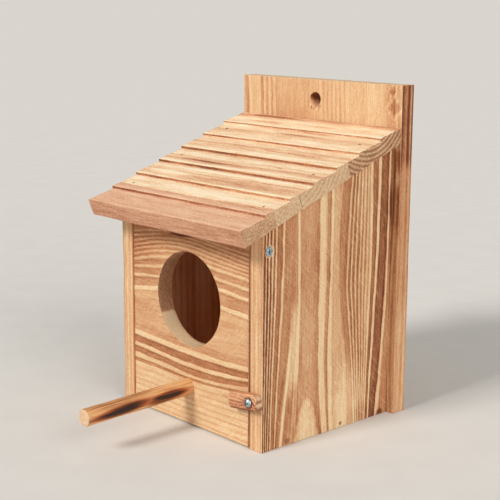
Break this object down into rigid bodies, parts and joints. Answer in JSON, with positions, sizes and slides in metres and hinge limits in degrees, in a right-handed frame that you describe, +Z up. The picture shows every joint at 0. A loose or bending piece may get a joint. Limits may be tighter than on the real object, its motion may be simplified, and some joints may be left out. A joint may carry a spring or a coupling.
{
  "type": "birdhouse",
  "caption": "Lean-to birdhouse of scorched softwood with a stepped roof, a round entrance, a perch and a swinging front held by a turn button.",
  "frame": {"origin": "middle of the bottom edge of the back board's rear face, which lies on the wall", "axes": "+Z up, +Y into the wall, the entrance faces -Y, and +X is to the right of someone who faces the entrance"},
  "size_m": [0.156, 0.2176, 0.2277],
  "materials": {
    "back_wood": "lightly scorched and brushed softwood",
    "side_wood": "scorched and brushed softwood, dark and pale stripes",
    "floor_wood": "plain sawn softwood",
    "roof_wood": "planed softwood, lightly scorched in streaks",
    "roof_wood_pink": "sawn softwood, pinkish",
    "door_wood": "scorched and brushed softwood, level grain",
    "perch_wood": "turned dowel with two scorch marks",
    "button_wood": "sawn softwood",
    "screw_steel": "zinc plated",
    "nail_steel": "plain wire, dulled"
  },
  "bodies": {
    "box": {"back_board": "back_wood", "left_side": "side_wood", "right_side": "side_wood", "floor_board": "floor_wood", "roof_stave_1": "roof_wood_pink", "roof_stave_2": "roof_wood", "roof_stave_3": "roof_wood", "roof_stave_4": "roof_wood", "turn_button_screw": "screw_steel", "roof_nails_left": "nail_steel", "roof_nails_right": "nail_steel", "floor_nails_left": "nail_steel", "floor_nails_right": "nail_steel", "back_nails_left": "nail_steel", "back_nails_right": "nail_steel"},
    "door": {"front_door": "door_wood", "perch": "perch_wood", "pivot_screw_left": "screw_steel", "pivot_screw_right": "screw_steel"},
    "button": {"turn_button": "button_wood"}
  },
  "joints": [
    {"name": "door_pivot", "type": "hinge", "parent": "box", "child": "door", "pos_m": [0, -0.126, 0.1304], "axis": [-1, 0, 0], "range_deg": [0, 85]},
    {"name": "button_turn", "type": "hinge", "parent": "box", "child": "button", "pos_m": [0.066, -0.1352, 0.034], "axis": [0, -1, 0], "continuous": true}
  ]
}
